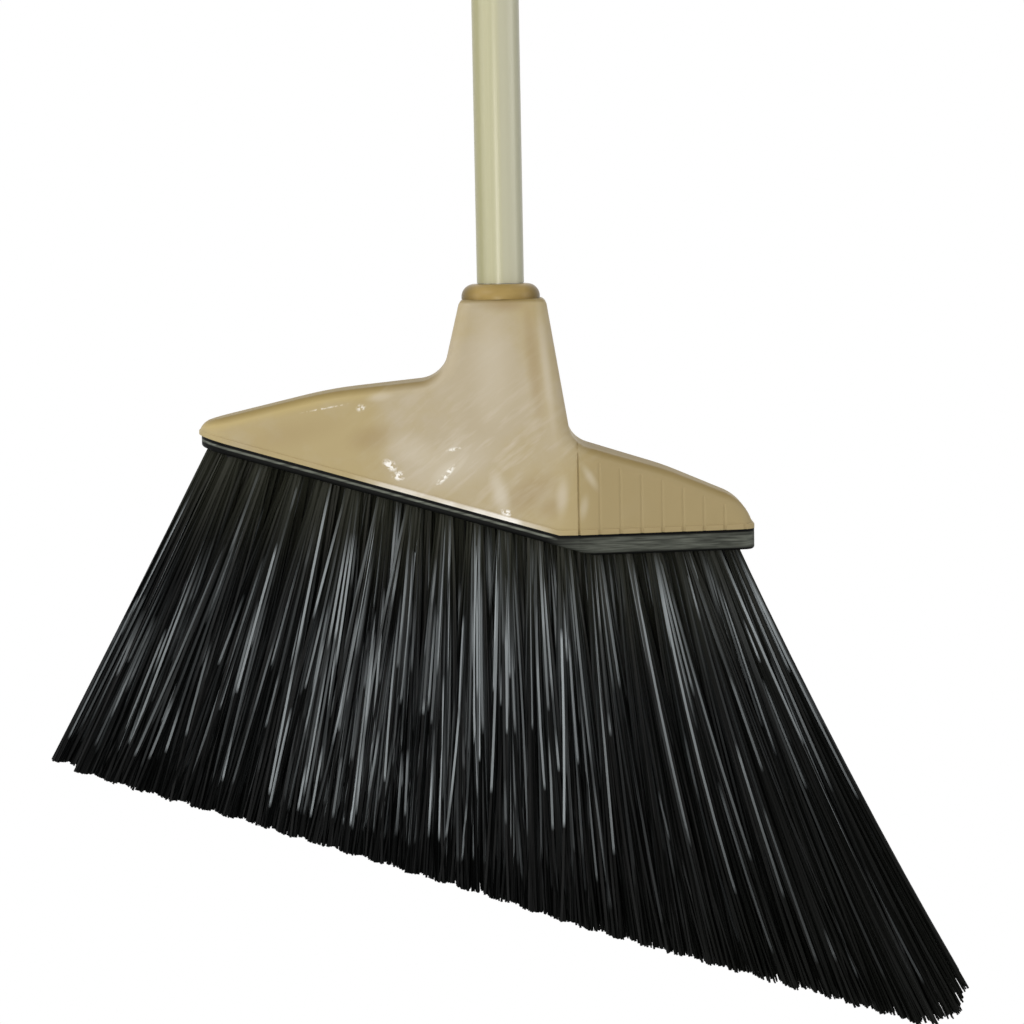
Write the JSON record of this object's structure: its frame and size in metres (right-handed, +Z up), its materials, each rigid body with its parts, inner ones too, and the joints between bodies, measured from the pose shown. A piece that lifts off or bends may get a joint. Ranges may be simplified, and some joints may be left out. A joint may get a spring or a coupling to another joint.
{
  "type": "angle broom",
  "caption": "Angle broom: a coated steel handle screws into a moulded bent cap that carries a bent block with a slanted fan of black bristles.",
  "frame": {"origin": "middle of the hang hole in the upper end of the handle", "axes": "+Z up along the handle, +X from the short heel of the head to its long toe, +Y from the front to the back"},
  "size_m": [0.4278, 0.0702, 1.5254],
  "materials": {
    "handle_coating": "cream vinyl sleeve, smooth with a soft gloss",
    "tube_steel": "welded steel tube, bare and hidden by its sleeve",
    "tip_plastic": "black moulded polypropylene",
    "hanger_plastic": "black moulded polypropylene",
    "ring_plastic": "amber moulded polypropylene, slightly clear",
    "cap_plastic": "tan moulded polypropylene, smooth with scuffs",
    "block_plastic": "black moulded polypropylene",
    "zinc_steel": "zinc plated steel",
    "bristle": "black drawn polyester strands with flagged tips"
  },
  "bodies": {
    "handle": {"handle_sleeve": "handle_coating", "handle_tube": "tube_steel", "threaded_tip": "tip_plastic", "hanger_cap": "hanger_plastic"},
    "collar": {"collar_ring": "ring_plastic"},
    "head": {"cap": "cap_plastic", "bristle_block": "block_plastic", "block_screws": "zinc_steel", "tuft_anchors": "zinc_steel", "bristle_row_1": "bristle", "bristle_row_2": "bristle", "bristle_row_3": "bristle", "bristle_row_4": "bristle", "bristle_row_5": "bristle", "bristle_row_6": "bristle"}
  },
  "joints": [
    {"name": "head_drop", "type": "slide", "parent": "handle", "child": "collar", "axis": [0, 0, -1], "range_m": [0, 0.0255]},
    {"name": "head_turn", "type": "hinge", "parent": "collar", "child": "head", "pos_m": [0, 0, -1.16], "axis": [0, 0, -1], "range_deg": [0, 1800]}
  ],
  "couplings": [
    {"joint": "head_drop", "follows": "head_turn", "m_per_rad": 0.00080851}
  ]
}
